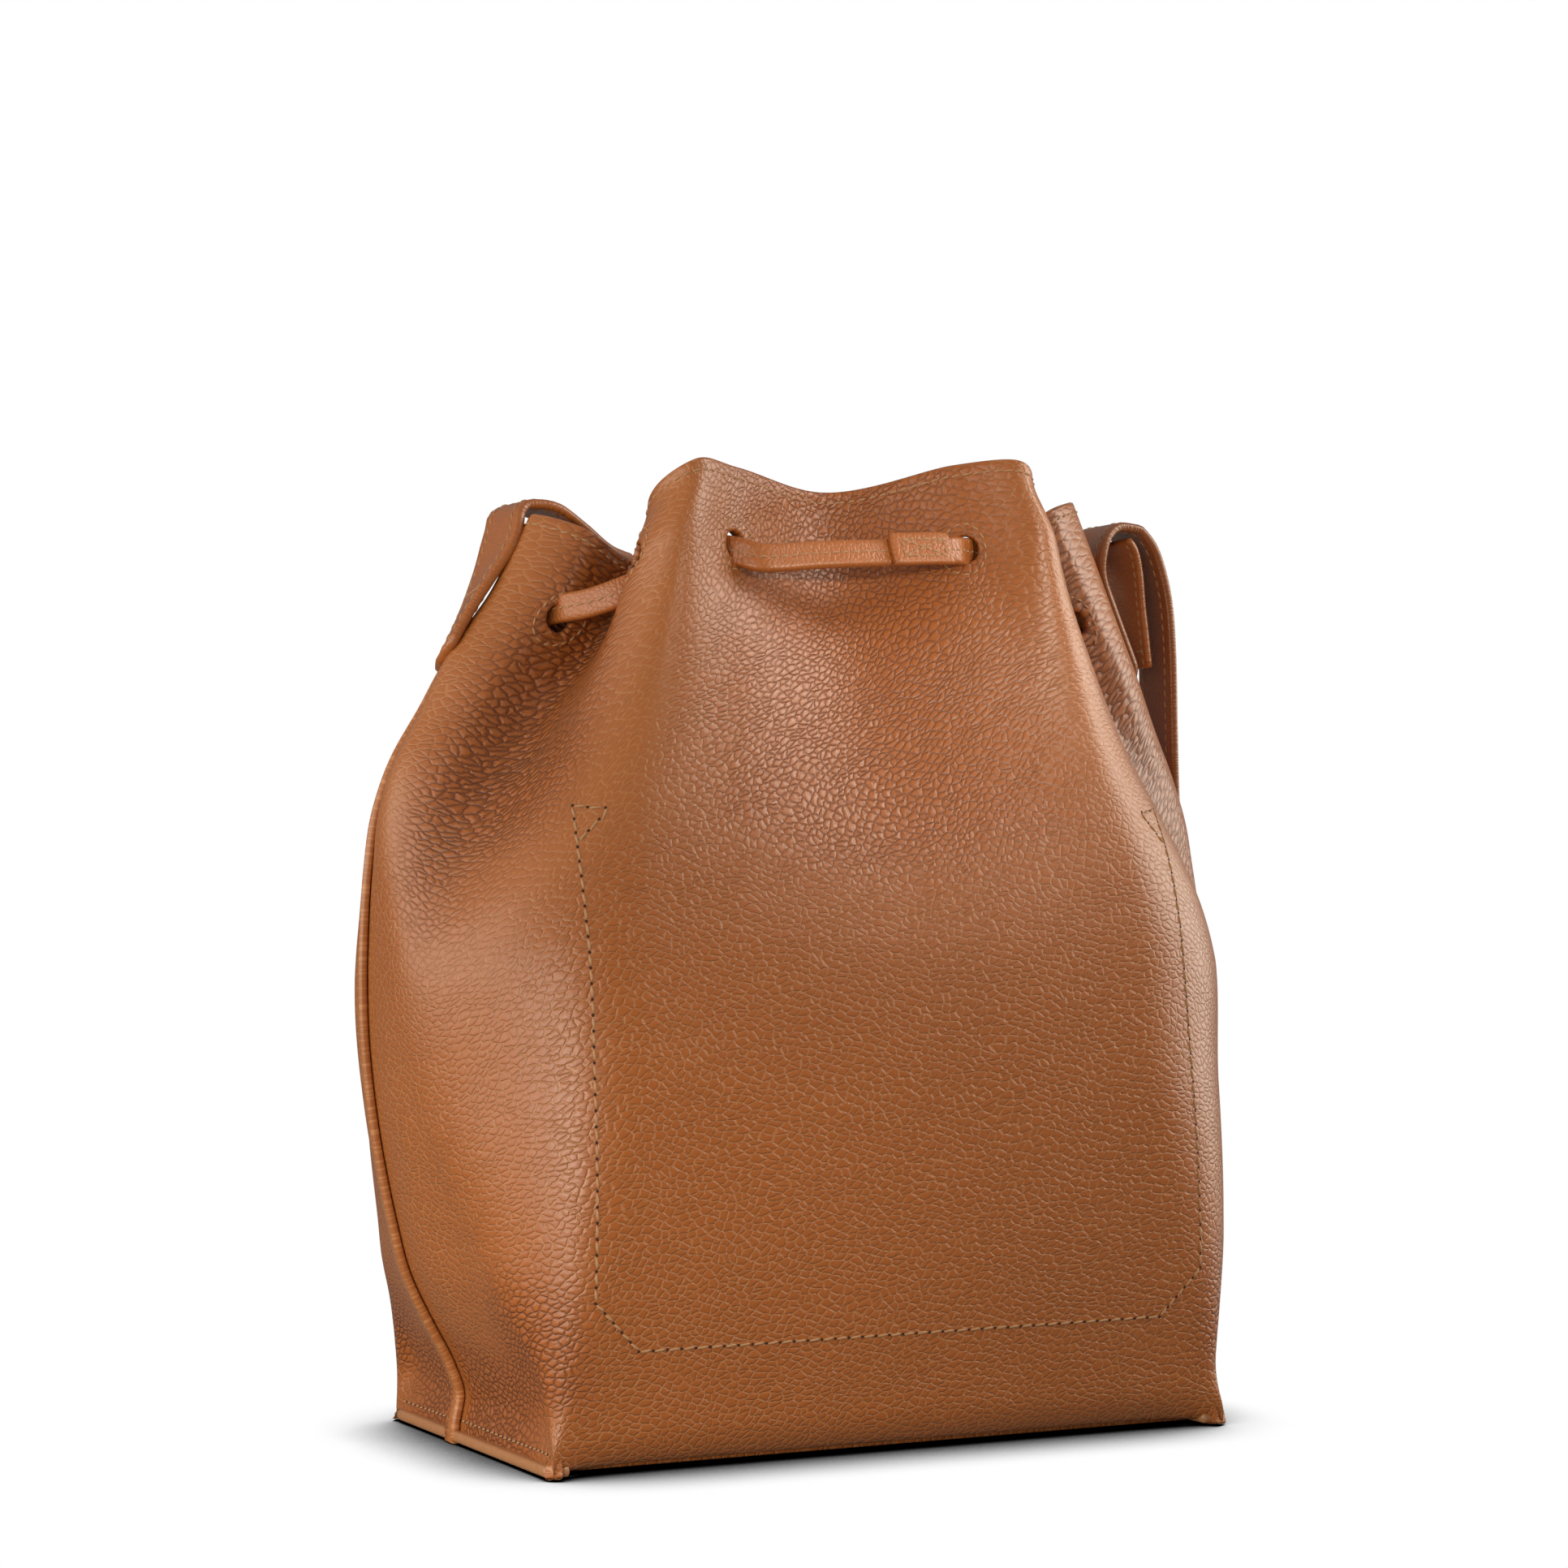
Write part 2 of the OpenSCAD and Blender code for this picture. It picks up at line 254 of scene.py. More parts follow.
def shell(t, h):
    """The surface with the leather's soft shapes: a rolled bottom fold, pinched ends and flared corners."""
    p = plain_shell(t, h)
    n = out_of(plain_shell, t, h)
    z = p[..., 2]
    end = 1 - ease((np.minimum(np.abs(np.mod(t, 24) - 6), np.abs(np.mod(t, 24) - 18)) - 2.7) / 0.5)
    broad = 1 - end
    roll = broad * 7.5 * (1 - np.sqrt(np.clip(1 - (1 - np.clip(z / 12, 0, 1)) ** 2, 0, 1)))
    pinch = end * curve_through(PINCH, z)
    p = p - n * (roll + pinch)[..., None]
    k = quarter(t)
    flare = 0.96 * bump_at(k, 2.92, 0.50) * ease((21 - z) / 18) ** 1.3
    tip_y = np.where(side_y(t) > 0, CORNER_REAR, CORNER_FRONT)
    p[..., 0] += flare * (-CORNER_X * side_x(t) - p[..., 0])
    p[..., 1] += flare * (-tip_y * side_y(t) - p[..., 1])
    p[..., 2] += flare * (np.minimum(z, 1.6 + 0.75 * z) - z)
    return p


# ---- meshes


def make_object(name, points, faces, kinds=None, values=None):
    """A smooth mesh from points in millimetres, with material numbers for faces and attributes for points."""
    mesh = bpy.data.meshes.new(name)
    mesh.from_pydata((np.asarray(points) * MM).tolist(), [], [list(map(int, f)) for f in faces])
    if kinds is not None:
        mesh.polygons.foreach_set("material_index", np.asarray(kinds, np.int32))
    mesh.polygons.foreach_set("use_smooth", np.full(len(mesh.polygons), True))
    for key, value in (values or {}).items():
        value = np.asarray(value, np.float32)
        form = "FLOAT_VECTOR" if value.ndim == 2 else "FLOAT"
        layer = mesh.attributes.new(key, form, "POINT")
        layer.data.foreach_set("vector" if value.ndim == 2 else "value", value.ravel())
    mesh.update()
    obj = bpy.data.objects.new(name, mesh)
    bpy.context.scene.collection.objects.link(obj)
    return obj


def open_edges(quads, count):
    """Both ends of each edge that belongs to one face only."""
    a = quads.ravel()
    b = np.roll(quads, -1, axis=1).ravel()
    forward = a.astype(np.int64) * count + b
    backward = b.astype(np.int64) * count + a
    lonely = ~np.isin(forward, backward)
    return a[lonely], b[lonely]


def thicken(points, quads, normals, thick, values, bulge=0.32, steps=5):
    """Turns an open sheet into a closed one: the sheet outside, a copy inside and a rounded edge between.
    Returns points, faces, kinds (0 outside, 1 edge, 2 inside) and values."""
    n = len(points)
    ea, eb = open_edges(quads, n)
    away = np.cross(points[eb] - points[ea], normals[ea])
    total = np.zeros_like(points)
    np.add.at(total, ea, unit(away))
    np.add.at(total, eb, unit(away))
    rim = np.unique(np.concatenate([ea, eb]))
    place = np.full(n, -1)
    place[rim] = np.arange(len(rim))
    side = unit(total[rim])
    all_points = [points, points - normals * thick]
    sources = [np.arange(n), np.arange(n)]
    rings = [rim]
    for k in range(1, steps):
        turn = math.pi * k / steps
        ring = points[rim] - normals[rim] * (thick / 2 * (1 - math.cos(turn)))
        ring = ring + side * (bulge * thick * math.sin(turn))
        rings.append(len(np.vstack(all_points)) + np.arange(len(rim)))
        all_points.append(ring)
        sources.append(rim)
    rings.append(rim + n)
    faces = [quads, quads[:, ::-1] + n]
    kinds = [np.zeros(len(quads), int), np.full(len(quads), 2)]
    for k in range(steps):
        near, far = rings[k], rings[k + 1]
        ia, ib = place[ea], place[eb]
        faces.append(np.stack([near[ib], near[ia], far[ia], far[ib]], axis=1))
        kinds.append(np.full(len(ea), 1))
    source = np.concatenate(sources)
    return (
        np.vstack(all_points),
        np.vstack(faces),
        np.concatenate(kinds),
        {key: np.asarray(value)[source] for key, value in values.items()},
    )


def grid_quads(nt, nh):
    """Faces of a grid of nt by nh points, facing out when t grows towards -X on the rear."""
    i, j = np.meshgrid(np.arange(nt - 1), np.arange(nh - 1), indexing="ij")
    o = (i * nh + j).ravel()
    return np.stack([o, o + 1, o + nh + 1, o + nh], axis=1)


def grain_of(t, h):
    """Flat coordinates of the hide in millimetres, so that the grain lies on it without shear."""
    fine = np.linspace(-8, 20, 1121)
    ring = plain_shell(fine, np.full(fine.shape, 130.0))
    run = run_along(ring)
    u = np.interp(t, fine, run)
    ears = ease((h - 175) / 60)
    for ridge_t in (-6, -2, 2, 6, 10, 14, 18):
        ridge_u = float(np.interp(ridge_t, fine, run))
        u = u - 0.5 * ears * 20 * np.tanh((u - ridge_u) / 20)
    return np.stack([u, h, np.zeros_like(u)], axis=-1)


# Where the front panel's edges lie over the rear panel, and how far under them the rear panel runs
LAP_EDGE = 6.6
LAP_UNDER = 6.95


def lap_of(t):
    """1 along the folded edges of the front panel, where the hide is pulled smooth over the fold."""
    t = np.mod(t, 24)
    return np.maximum(bump_at(t, LAP_EDGE, 0.26), bump_at(t, 24 - LAP_EDGE, 0.26))


def gather_of(t, h):
    """How tightly the hide is gathered: 1 in folds and over the pinched ends, 0 where it is stretched."""
    k = quarter(t)
    up = ease((h - 135) / 45)
    fold = up * np.maximum(bump_at(k, 4.05, 1.15), 0.55 * bump_at(k, 0, 1.5))
    ends = ease((42 - h) / 30) * (1 - ease((np.abs(k - 6) - 2.6) / 0.6))
    corner = 0.75 * ease((75 - h) / 45) * bump_at(k, 3.1, 0.7)
    flat = (0.16 * (1 - up) + 0.22 * up) * (1 - 0.5 * bump_at(k, 5.2, 1.2) * (1 - up))
    calm = np.maximum(lap_of(t), ease((26 - h) / 16) * bump_at(k, 3.0, 0.75))
    return np.clip(np.maximum.reduce([fold, ends, corner, flat]), 0, 1) * (1 - calm)


def stretch_of(t, h):
    """Where the hide is pulled smooth over a ridge."""
    k = quarter(t)
    ear = ease((h - 150) / 40)
    shoulder = bump_at(h, 165, 16) * bump_at(k, 3.4, 1.1)
    smooth = np.clip(ear * (0.8 * bump_at(k, 2.35, 0.6) + bump_at(k, 6, 0.75)) + 0.8 * shoulder, 0, 1)
    return np.maximum(smooth, 1.25 * lap_of(t))


# The round holes: where each is round the bag, and how high
HOLE_PLACES = [(1, 249.0), (3, 245.0), (4.7, 228.0), (7, 221.0), (9, 218.0), (11, 223.0),
               (13, 223.0), (15, 219.0), (17, 223.0), (19.4, 232.0), (21, 248.0), (23.05, 251.0)]


def hole_height(t, z):
    """The nominal height at which the surface at t reaches z."""
    hs = np.linspace(180, NOMINAL_H, 400)
    return float(np.interp(z, plain_shell(np.full(400, float(t)), hs)[:, 2], hs))


HOLES = [(t, hole_height(t, z)) for t, z in HOLE_PLACES]


def holes_between(t_from, t_to):
    """A panel's holes: where each is by the panel's own count, its middle and the way out of it."""
    for hole_t, hole_h in HOLES:
        if t_from < 0 and hole_t > 12:
            hole_t -= 24
        if t_from < hole_t < t_to:
            t, h = np.array([hole_t]), np.array([hole_h])
            yield hole_t, shell(t, h)[0], out_of(shell, t, h)[0]


def round_hole(points, ts, hole_t, middle, way_out):
    """Each point's offset from the hole's axis, and which points are near the hole."""
    gap = points - middle
    near = (np.abs(ts - hole_t) < 0.8) & (np.linalg.norm(gap, axis=1) < 4 * HOLE_R)
    return gap - np.outer(gap @ way_out, way_out), near


# The panels' mesh size, the length of one step of t and the hide's height, for an even grid
PANEL_STEP = 1.25
MM_PER_T = 25.6
HIDE_H = 275


def panel(name, t_from, t_to, lift_of):
    """One of the two big panels, with its punched holes and rounded painted edges."""
    nt = int((t_to - t_from) * MM_PER_T / PANEL_STEP) + 1
    nh = int(HIDE_H / PANEL_STEP) + 1
    t, h = np.meshgrid(np.linspace(t_from, t_to, nt), np.linspace(0, NOMINAL_H, nh), indexing="ij")
    t, h = t.ravel(), h.ravel()
    normals = out_of(shell, t, h)
    points = shell(t, h) + normals * lift_of(t)[:, None]
    quads = grid_quads(nt, nh)
    centres = points[quads].mean(axis=1)
    keep = np.ones(len(quads), bool)
    for hole in holes_between(t_from, t_to):
        flat, near = round_hole(centres, t[quads[:, 0]], *hole)
        keep &= ~(near & (np.linalg.norm(flat, axis=1) < HOLE_R))
    quads = quads[keep]
    at_edge = np.zeros(len(points), bool)
    at_edge[np.concatenate(open_edges(quads, len(points)))] = True
    for hole in holes_between(t_from, t_to):
        flat, near = round_hole(points, t, *hole)
        away = np.linalg.norm(flat, axis=1)
        ring = at_edge & near & (away < 2 * HOLE_R) & (h < NOMINAL_H - 3)
        points[ring] += flat[ring] * (HOLE_R / away[ring] - 1)[:, None]
    used = np.unique(quads)
    index = np.full(len(points), -1)
    index[used] = np.arange(len(used))
    makers = {"grain": grain_of, "gather": gather_of, "stretch": stretch_of}
    values = {key: make(t, h)[used] for key, make in makers.items()}
    p, f, kinds, values = thicken(points[used], index[quads], normals[used], WALL, values)
    return make_object(name, p, f, kinds, values)


# ---- materials


def feed(tree, node, inputs):
    """Sets a node's inputs, or links them to other nodes' outputs."""
    for key, value in inputs.items():
        if isinstance(value, bpy.types.NodeSocket):
            tree.links.new(value, node.inputs[key])
        else:
            node.inputs[key].default_value = value


def add_node(tree, kind, inputs=None, **options):
    """A new shader node with its options and inputs."""
    node = tree.nodes.new("ShaderNode" + kind)
    for key, value in options.items():
        setattr(node, key, value)
    feed(tree, node, inputs or {})
    return node


def node_tree(name):
    mat = bpy.data.materials.new(name)
    mat.use_nodes = True
    tree = mat.node_tree
    tree.nodes.clear()
    bsdf = add_node(tree, "BsdfPrincipled")
    out = add_node(tree, "OutputMaterial", {"Surface": bsdf.outputs["BSDF"]})
    return mat, tree, bsdf, out


def simple_leather(name, dark, light, scale, rough, bump):
    """Plain leather, paint or thread: two tones mixed by a fine noise that also gives the relief."""
    mat, tree, bsdf, _ = node_tree(name)
    coord = add_node(tree, "TexCoord")
    size = add_node(tree, "VectorMath", operation="SCALE")
    feed(tree, size, {0: coord.outputs["Object"], "Scale": 1000})
    dots = add_node(tree, "TexNoise", {"Vector": size.outputs[0], "Scale": scale, "Detail": 4})
    noise = dots.outputs["Fac"]
    tones = add_node(tree, "Mix", {"Factor": noise, "A": (*dark, 1), "B": (*light, 1)}, data_type="RGBA")
    lump = add_node(tree, "Bump", {"Strength": bump, "Distance": 0.0004, "Height": noise})
    feed(tree, bsdf, {"Base Color": tones.outputs["Result"], "Roughness": rough})
    feed(tree, bsdf, {"Normal": lump.outputs["Normal"]})
    return mat


def grained_leather(name, tone=1.0, cell=(3.1, 2.1), relief=1.0, gathered=False):
    """Pebbled leather, with rounded cells between fine creases. If gathered, it reads where the hide is."""
    mat, tree, bsdf, _ = node_tree(name)

    def calc(op, *args):
        return add_node(tree, "Math", dict(enumerate(args)), operation=op).outputs[0]

    def times(a, b):
        return calc("MULTIPLY", a, b)

    def plus(a, b):
        return calc("ADD", a, b)

    def toned(red, green, blue):
        return red * tone, green * tone, blue * tone, 1

    def attribute(key, output):
        return add_node(tree, "Attribute", attribute_name=key).outputs[output]

    def noise(vector, scale, detail, output="Fac"):
        inputs = {"Vector": vector, "Scale": scale, "Detail": detail}
        return add_node(tree, "TexNoise", inputs).outputs[output]

    def stirred(place, scale, detail, by):
        """The place moved a little, this way and that, by a noise."""
        inputs = {0: noise(hide, scale, detail, "Color"), 1: by, 2: place}
        return add_node(tree, "VectorMath", inputs, operation="MULTIPLY_ADD").outputs[0]

    def mixed(a, b, share, blend="MIX"):
        inputs = {"Factor": share, "A": a, "B": b}
        return add_node(tree, "Mix", inputs, data_type="RGBA", blend_type=blend).outputs["Result"]

    def relief_of(height, depth):
        inputs = {"Strength": 1.0, "Distance": depth * relief, "Height": height}
        return add_node(tree, "Bump", inputs).outputs["Normal"]

    hide = attribute("grain", "Vector")
    gather = attribute("gather", "Fac") if gathered else 0.3
    stretch = attribute("stretch", "Fac") if gathered else 0.0

    # The pebbles' grid: the hide's coordinates stirred, turned and leaned over, counted in cells
    place = stirred(hide, 0.03, 2.0, (11, 9, 0))
    place = stirred(place, 0.22, 1.0, (1.3, 1.3, 0))
    place = stirred(place, 0.75, 1.0, (0.9, 0.9, 0))
    turn = add_node(tree, "VectorRotate", rotation_type="Z_AXIS")
    feed(tree, turn, {"Vector": place, "Angle": math.radians(-14)})
    lie = add_node(tree, "SeparateXYZ", {0: turn.outputs[0]})
    rows = calc("DIVIDE", lie.outputs[1], cell[1])
    columns = plus(calc("DIVIDE", lie.outputs[0], cell[0]), times(rows, 0.42))
    grid = add_node(tree, "CombineXYZ", {0: columns, 1: rows})
    edges = add_node(tree, "TexVoronoi", voronoi_dimensions="2D", feature="DISTANCE_TO_EDGE")
    tints = add_node(tree, "TexVoronoi", voronoi_dimensions="2D")
    for pebbles in (edges, tints):
        feed(tree, pebbles, {"Vector": grid.outputs[0], "Scale": 1.0, "Randomness": 0.72})
    cells = edges.outputs["Distance"]

    # Slow changes over the hide, and long wrinkles round the bag
    broad = noise(hide, 0.03, 2.0)
    mottle = noise(hide, 0.09, 3.0)
    fine = noise(hide, 1.5, 5.0)
    depth = noise(hide, 0.10, 2.0)
    drawn_out = add_node(tree, "VectorMath", {0: hide, 1: (0.05, 0.30, 1)}, operation="MULTIPLY").outputs[0]
    wrinkles = noise(drawn_out, 1.0, 2.5)

    # Relief: pebbles with creases between them, deeper where gathered and calmer where stretched
    rise = times(cells, calc("SUBTRACT", 6.5, times(gather, 3)))
    groove = calc("POWER", calc("MINIMUM", rise, 1), 1.4)
    dome = calc("POWER", calc("MINIMUM", times(cells, 2.2), 1), 0.7)
    calm = calc("SUBTRACT", 1, times(stretch, 0.72))
    uneven = plus(0.55, times(depth, 0.9))
    deep = times(times(plus(0.26, times(gather, 0.30)), calm), uneven)
    height = times(groove, deep)
    height = plus(height, times(dome, times(calm, plus(0.15, times(gather, 0.60)))))
    height = plus(height, times(fine, 0.06))
    height = plus(height, times(wrinkles, plus(0.10, times(gather, 0.9))))

    # Colour: painted shade darkens the creases where the hide is gathered, painted highlights pale the crease
    # lines where it lies open, and a painted sheen makes the hide paler over the stretched ridges
    line = calc("SUBTRACT", 1, calc("MINIMUM", times(cells, 8), 1))
    # Painted shade: how much the creases are darkened where the hide is gathered
    painted_crease_shade = times(line, times(calm, calc("MINIMUM", times(gather, 1.1), 0.85)))
    # Painted highlight: how much the crease lines are paled where the hide lies open, in place of light
    # caught on the crease walls
    painted_crease_highlight = times(line, times(uneven, calc("MAXIMUM", calc("SUBTRACT", 0.62, times(gather, 1.3)), 0)))
    body = mixed(toned(0.368, 0.106, 0.017), toned(0.411, 0.121, 0.021), broad)
    body = mixed(body, toned(0.386, 0.098, 0.016), times(mottle, 0.5))
    shade = add_node(tree, "SeparateColor", {"Color": tints.outputs["Color"]}).outputs[0]
    varied = add_node(tree, "HueSaturation", {"Color": body, "Value": plus(times(shade, 0.04), 0.98)})
    # Painted sheen: paler, less saturated hide over the stretched ridges, with the painted crease highlights
    # mixed in next
    painted_sheen = mixed(varied.outputs["Color"], toned(0.50, 0.20, 0.065), times(stretch, 0.30))
    painted_sheen = mixed(painted_sheen, toned(0.70, 0.34, 0.13), painted_crease_highlight)
    rough = plus(0.29, times(line, 0.10))
    feed(tree, bsdf, {
        # The painted shade in the creases is multiplied into the colour here
        "Base Color": mixed(painted_sheen, (0.34, 0.24, 0.18, 1), painted_crease_shade, "MULTIPLY"),
        "Roughness": plus(rough, times(fine, 0.10)),
        "Specular IOR Level": 0.22,
        "Coat Weight": 0.85,
        "Coat Roughness": 0.36,
        "Coat Normal": relief_of(height, 0.00013),
        "Normal": relief_of(height, 0.00055)})
    return mat


LEATHER = grained_leather("grained_leather", 1.0, (2.55, 2.1), 1.0, True)
# The strap's and the string's outer leather are lighter copies of the body's leather: a painted highlight on
# them
STRAP_OUT_PAINTED_LIGHT = grained_leather("strap_leather", 1.08, (2.0, 1.7), 0.4)
STRING_OUT_PAINTED_LIGHT = grained_leather("string_leather", 1.12, (1.7, 1.6), 0.45)
# The strap's face towards the bag and inside its loops is a darker copy of the same leather: painted shade
STRAP_IN_PAINTED_SHADE = grained_leather("strap_inner_painted_shade", 0.8, (1.5, 1.5), 0.35)
EDGE = simple_leather("painted_edge", (0.40, 0.175, 0.072), (0.50, 0.235, 0.105), 0.5, 0.38, 0.25)
SUEDE = simple_leather("suede_inside", (0.20, 0.115, 0.052), (0.29, 0.175, 0.085), 1.3, 0.95, 0.6)
THREAD = simple_leather("thread", (0.40, 0.205, 0.09), (0.52, 0.29, 0.14), 3, 0.55, 0.4)
# Near-black for the discs at the needle holes: painted shade in the holes
NEEDLE_HOLE_SHADE = simple_leather("needle_hole_painted_shade", (0.030, 0.012, 0.006), (0.05, 0.02, 0.01), 2, 0.9, 0.1)
LINING = simple_leather("pocket_lining", (0.23, 0.13, 0.06), (0.30, 0.18, 0.09), 0.8, 0.9, 0.5)


def dress(obj, *mats):
    obj.data.materials.clear()
    for m in mats:
        obj.data.materials.append(m)


# ---- panels


def no_lift(t):
    return np.zeros_like(t)


def lap_lift(t):
    inside = np.minimum(t - LAP_EDGE, 24 - LAP_EDGE - t)
    return (WALL + 0.25) * (1 - ease((inside - 0.36) / 0.30))


rear = panel("rear_leather", -LAP_UNDER, LAP_UNDER, no_lift)
front = panel("front_leather", LAP_EDGE, 24 - LAP_EDGE, lap_lift)
for obj, node in ((rear, "rear_panel"), (front, "front_panel")):
    dress(obj, LEATHER, EDGE, SUEDE)
    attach(obj, "bag")
    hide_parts(node)


# ---- stitches


# A stitch's share of the pitch, its slant and how far it sinks into the leather
STITCH_SHARE = 0.78
STITCH_SLANT = 0.12
STITCH_SINK = 0.15
# Points round a stitch, rings along it and corners of a needle hole
STITCH_ROUND = 6
STITCH_RINGS = 5
DOT_ROUND = 6


def one_stitch(points, faces, middle, along, across, up, half, radius):
    """Adds one rounded thread to the lists of points and faces."""
    base = len(points)
    for i in range(STITCH_RINGS):
        f = -1 + 2 * i / (STITCH_RINGS - 1)
        thin = math.sqrt(max(0.12, 1 - f * f * 0.9))
        centre = middle + along * half * f + up * (radius * (0.75 * thin - 0.2) - STITCH_SINK)
        for j in range(STITCH_ROUND):
            a = 2 * math.pi * j / STITCH_ROUND
            points.append(centre + (across * math.cos(a) + up * math.sin(a)) * radius * thin)
    for i in range(STITCH_RINGS - 1):
        o = base + i * STITCH_ROUND
        for j in range(STITCH_ROUND):
            k = (j + 1) % STITCH_ROUND
            faces.append([o + j, o + k, o + STITCH_ROUND + k, o + STITCH_ROUND + j])
    faces.append([base + j for j in range(STITCH_ROUND)][::-1])
    faces.append([base + (STITCH_RINGS - 1) * STITCH_ROUND + j for j in range(STITCH_ROUND)])


def stitches(name, lines, pitch, radius=0.34, body="bag", holes=False):
    """Short rounded threads along lines. Each line is (points, normals), in millimetres."""
    points, faces, dots, dot_faces = [], [], [], []
    for line, normal in lines:
        both = even(np.hstack([line, normal]), 0.5)
        line, normal = both[:, :3], unit(both[:, 3:])
        run = run_along(line)
        count = max(1, int(round(run[-1] / pitch)))
        for s in range(count):
            mid = (s + 0.5) / count * run[-1]
            half = run[-1] / count * STITCH_SHARE / 2
            spots = (mid - half, mid, mid + half)
            start, middle, end = [np.array([np.interp(m, run, line[:, k]) for k in range(3)]) for m in spots]
            up = unit(np.array([np.interp(mid, run, normal[:, k]) for k in range(3)]))
            along = unit(end - start)
            along = unit(along + np.cross(up, along) * STITCH_SLANT)
            across = np.cross(up, along)
            one_stitch(points, faces, middle, along, across, up, half, radius)
            # A small dark disc just above each needle hole: painted shade in the hole
            if holes:
                spot = start - along * (run[-1] / count * (1 - STITCH_SHARE) / 2) + up * 0.06
                dot_faces.append([len(dots) + j for j in range(DOT_ROUND)])
                for j in range(DOT_ROUND):
                    a = 2 * math.pi * j / DOT_ROUND
                    dots.append(spot + (across * math.cos(a) * 0.42 + along * math.sin(a) * 0.5))
    made = make_object(name, np.array(points), faces)
    dress(made, THREAD)
    if body:
        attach(made, body)
    if holes:
        marks = make_object(name + "_hole_shade", np.array(dots), dot_faces)
        dress(marks, NEEDLE_HOLE_SHADE)
        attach(marks, body)
    return made


def shell_line(ts, hs, lift=0.0, lift_of=no_lift):
    ts, hs = np.asarray(ts, float), np.asarray(hs, float)
    n = out_of(shell, ts, hs)
    return shell(ts, hs) + n * (lift + lift_of(ts))[:, None], n


def find_t(x, h):
    """t on the rear at which the shell at height h has this x."""
    ts = np.linspace(-5, 5, 2001)
    xs = shell(ts, np.full(ts.shape, float(h)))[:, 0]
    order = np.argsort(xs)
    return float(np.interp(x, xs[order], ts[order]))


# The mouth's edge
rear_ts = np.linspace(-LAP_EDGE + 0.05, LAP_EDGE - 0.05, 700)
front_ts = np.linspace(LAP_EDGE + 0.1, 24 - LAP_EDGE - 0.1, 600)
mouth_h = NOMINAL_H - 2.6
stitches("mouth_stitches", [
    shell_line(rear_ts, np.full(rear_ts.shape, mouth_h)),
    shell_line(front_ts, np.full(front_ts.shape, mouth_h), 0.0, lap_lift)], 3.1, radius=0.36)

# The seams that hold the base at each end
end_ts = np.linspace(-2.75, 2.75, 500)
seam_rows = [shell_line(middle + end_ts, np.full(end_ts.shape, 5.6)) for middle in (6, 18)]
stitches("base_seam_stitches", seam_rows, 3.0, radius=0.32, holes=True)


def hole_ring(hole_t, hole_h, radius):
    """Points and normals of a circle round a hole."""
    near = shell(np.array([hole_t, hole_t + 0.1]), np.array([hole_h, hole_h]))
    d_t = np.linalg.norm(near[1] - near[0]) / 0.1
    a = np.linspace(0, 2 * math.pi, 61)
    ts = hole_t + np.cos(a) * radius / d_t
    hs = hole_h + np.sin(a) * radius
    n = out_of(shell, ts, hs)
    return shell(ts, hs), n


# Rings of stitches round the holes
stitches("hole_stitches", [hole_ring(float(k), v, 7.0) for k, v in HOLES], 2.9)

# The pocket's outline on the rear panel
POCKET = [(-92, 175.4), (-93.7, 45.3), (-80.8, 32), (80.8, 32), (93.7, 45.3), (92, 175.4)]


def pocket_line(corners):
    pts = even(np.array(corners, float), 2.0)
    hs = pts[:, 1] / 264.5 * NOMINAL_H
    ts = np.array([find_t(x, h) for x, h in zip(pts[:, 0], hs)])
    hs = pts[:, 1] / rim_z(ts) * NOMINAL_H
    return shell_line(ts, hs)


pocket_runs = [pocket_line([POCKET[i], POCKET[i + 1]]) for i in range(5)]
for s in (-1, 1):
    pocket_runs.append(pocket_line([(s * 92, 175.4), (s * 82.5, 174.5), (s * 92, 165.5)]))
stitches("pocket_stitches", pocket_runs, 4.1, radius=0.4, holes=True)


# ---- strips

# How far a strip's rounded edge reaches past its flat face, as a share of its thickness
EDGE_ROUND = 0.3
# A face well inside every strip, which shows whether the faces look the right way
FACE_TESTED = 60


def strip_frame(way, looks, step):
    """A smooth line along way, with the way across it, the way its face looks and the run so far."""
    both = smooth_path(np.hstack([np.array(way, float), np.array(looks, float)]), step)
    line, look = both[:, :3], both[:, 3:]
    ahead = unit(np.gradient(line, axis=0))
    side = unit(np.cross(look, ahead))
    return line, side, unit(np.cross(ahead, side)), run_along(line)


def strip_mesh(name, points, normals, across, run, thick, mats):
    """A strip with rounded painted edges from a grid of points on its outer face."""
    rows, cols = points.shape[:2]
    points, normals = points.reshape(-1, 3), normals.reshape(-1, 3)
    quads = grid_quads(rows, cols)
    a, b, _, d = quads[FACE_TESTED]
    if np.cross(points[b] - points[a], points[d] - points[a]) @ normals[a] < 0:
        quads = quads[:, ::-1]
    values = {"grain": np.stack([np.tile(across, rows), np.repeat(run, cols), np.zeros(len(points))], axis=1)}
    p, f, kinds, values = thicken(points, quads, normals, thick, values, bulge=EDGE_ROUND)
    obj = make_object(name, p, f, kinds, values)
    dress(obj, *mats)
    return obj


def ribbon(name, way, looks, half, thick, mats, body, step=1.6, cols=9):
    """A flat strip of leather along way."""
    line, side, up, run = strip_frame(way, looks, step)
    across = np.linspace(-1, 1, cols) * (half - EDGE_ROUND * thick)
    points = line[:, None, :] + side[:, None, :] * across[None, :, None] + up[:, None, :] * thick / 2
    obj = strip_mesh(name, points, np.repeat(up[:, None, :], cols, axis=1), across, run, thick, mats)
    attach(obj, body)
    return obj, line, side, up


def strip_rows(line, side, up, reach, lift, face=1):
    """Stitch lines beside both edges of a strip."""
    return [(line + side * s * reach + up * face * lift, up * face) for s in (-1, 1)]


# ---- drawstring

STRING_HALF = 4.1
STRING_T = 3.0
STRING_MATS = (STRING_OUT_PAINTED_LIGHT, EDGE, STRING_OUT_PAINTED_LIGHT)
